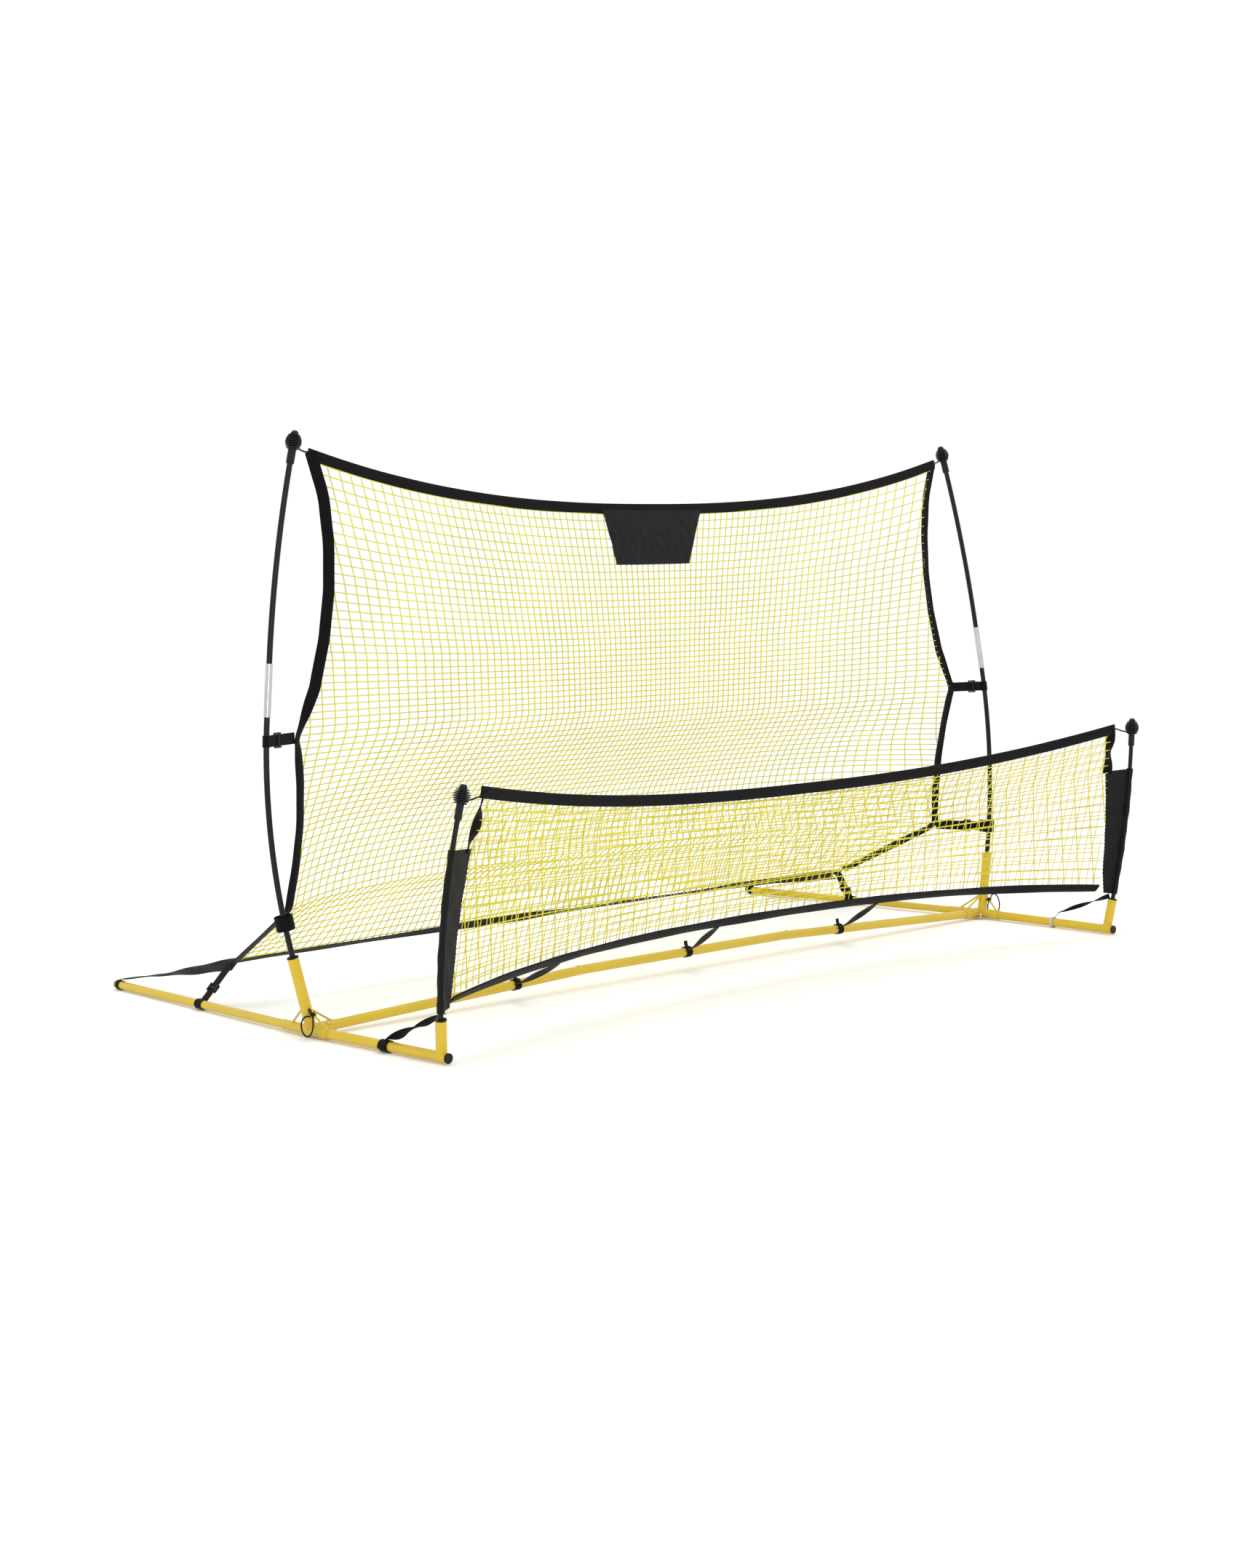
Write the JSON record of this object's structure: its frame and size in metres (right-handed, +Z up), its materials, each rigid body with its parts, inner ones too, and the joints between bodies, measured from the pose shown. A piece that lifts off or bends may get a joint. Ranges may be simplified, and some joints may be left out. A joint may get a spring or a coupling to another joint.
{
  "type": "football rebounder net",
  "caption": "Free-standing ball rebounder: a tall net held by bowed poles and a low net in front, on a tube base with turned-in feet.",
  "frame": {"origin": "centre of the bounding box on the ground plane", "axes": "+X along the crossbar, -Y the side of the low front net, +Z up"},
  "size_m": [2.5674, 1.2926, 1.2962],
  "materials": {
    "yellow_frame": "gloss powder coat",
    "black_pole": "glossy glass-fibre rod",
    "ferrule_steel": "polished",
    "zinc_button": "satin zinc",
    "black_plastic": "moulded",
    "yellow_net": "knotless netting",
    "black_webbing": "woven webbing",
    "black_fabric": "woven sleeve cloth",
    "black_elastic": "braided elastic cord",
    "white_cord": "braided cord"
  },
  "bodies": {
    "base": {"left_corner_fitting": "yellow_frame", "right_corner_fitting": "yellow_frame", "left_rear_tube": "yellow_frame", "right_rear_tube": "yellow_frame", "left_front_tube": "yellow_frame", "right_front_tube": "yellow_frame", "rear_end_caps": "black_plastic", "front_end_caps": "black_plastic", "left_crossbar": "yellow_frame", "middle_crossbar": "yellow_frame", "right_crossbar": "yellow_frame", "left_pole_socket": "yellow_frame", "right_pole_socket": "yellow_frame", "tall_socket_bushes": "black_plastic", "short_socket_bushes": "black_plastic", "left_lower_pole": "black_pole", "right_lower_pole": "black_pole", "pole_ferrules": "ferrule_steel", "left_upper_pole": "black_pole", "right_upper_pole": "black_pole", "left_tall_cap": "black_plastic", "right_tall_cap": "black_plastic", "left_short_pole": "black_pole", "right_short_pole": "black_pole", "left_short_cap": "black_plastic", "right_short_cap": "black_plastic", "left_pole_sleeve": "black_fabric", "right_pole_sleeve": "black_fabric", "left_pole_straps": "black_webbing", "right_pole_straps": "black_webbing", "left_rear_strap": "black_webbing", "right_rear_strap": "black_webbing", "tall_net": "yellow_net", "target_panel": "black_fabric", "tall_top_band": "black_webbing", "tall_side_bands": "black_webbing", "tall_bottom_band": "black_webbing", "corner_tails": "black_fabric", "front_net_outer": "yellow_net", "front_net_inner": "yellow_net", "front_net_bands": "black_webbing", "crossbar_straps": "black_webbing", "left_foot_strap": "black_webbing", "right_tie_cord": "white_cord", "elastic_rings": "black_plastic", "left_elastic_loop": "black_elastic", "right_elastic_loop": "black_elastic", "gusset_bolts": "zinc_button"},
    "left_joint_button": {"left_joint_button": "zinc_button"},
    "right_joint_button": {"right_joint_button": "zinc_button"},
    "left_bar_button": {"left_bar_button": "zinc_button"},
    "right_bar_button": {"right_bar_button": "zinc_button"},
    "left_foot_button": {"left_foot_button": "zinc_button"},
    "right_foot_button": {"right_foot_button": "zinc_button"},
    "left_mid_buckle": {"left_mid_buckle": "black_plastic"},
    "right_mid_buckle": {"right_mid_buckle": "black_plastic"},
    "left_low_buckle": {"left_low_buckle": "black_plastic"},
    "right_low_buckle": {"right_low_buckle": "black_plastic"},
    "left_rear_buckle": {"left_rear_buckle": "black_plastic"},
    "right_rear_buckle": {"right_rear_buckle": "black_plastic"}
  },
  "joints": [
    {"name": "left_joint_button_slide", "type": "slide", "parent": "base", "child": "left_joint_button", "axis": [0.0357, 0, -0.9994], "range_m": [0, 0.0035], "stiffness_N_per_m": 600, "springref_m": -0.003},
    {"name": "left_bar_button_slide", "type": "slide", "parent": "base", "child": "left_bar_button", "axis": [0.0252, 0.7071, -0.7067], "range_m": [0, 0.0035], "stiffness_N_per_m": 600, "springref_m": -0.003},
    {"name": "left_foot_button_slide", "type": "slide", "parent": "base", "child": "left_foot_button", "axis": [1, 0, 0], "range_m": [0, 0.0035], "stiffness_N_per_m": 600, "springref_m": -0.003},
    {"name": "left_mid_buckle_slide", "type": "slide", "parent": "base", "child": "left_mid_buckle", "axis": [0.9578, 0.2873, 0], "range_m": [-0.01, 0.01]},
    {"name": "left_low_buckle_slide", "type": "slide", "parent": "base", "child": "left_low_buckle", "axis": [0.638, 0.7698, 0.0208], "range_m": [-0.01, 0.01]},
    {"name": "left_rear_buckle_slide", "type": "slide", "parent": "base", "child": "left_rear_buckle", "axis": [0.6547, -0.1227, 0.7459], "range_m": [-0.01, 0.01]},
    {"name": "right_joint_button_slide", "type": "slide", "parent": "base", "child": "right_joint_button", "axis": [-0.0357, 0, -0.9994], "range_m": [0, 0.0035], "stiffness_N_per_m": 600, "springref_m": -0.003},
    {"name": "right_bar_button_slide", "type": "slide", "parent": "base", "child": "right_bar_button", "axis": [-0.0252, 0.7071, -0.7067], "range_m": [0, 0.0035], "stiffness_N_per_m": 600, "springref_m": -0.003},
    {"name": "right_foot_button_slide", "type": "slide", "parent": "base", "child": "right_foot_button", "axis": [-1, 0, 0], "range_m": [0, 0.0035], "stiffness_N_per_m": 600, "springref_m": -0.003},
    {"name": "right_mid_buckle_slide", "type": "slide", "parent": "base", "child": "right_mid_buckle", "axis": [-0.9578, 0.2873, 0], "range_m": [-0.01, 0.01]},
    {"name": "right_low_buckle_slide", "type": "slide", "parent": "base", "child": "right_low_buckle", "axis": [-0.638, 0.7698, 0.0208], "range_m": [-0.01, 0.01]},
    {"name": "right_rear_buckle_slide", "type": "slide", "parent": "base", "child": "right_rear_buckle", "axis": [-0.6547, -0.1227, 0.7459], "range_m": [-0.01, 0.01]}
  ]
}
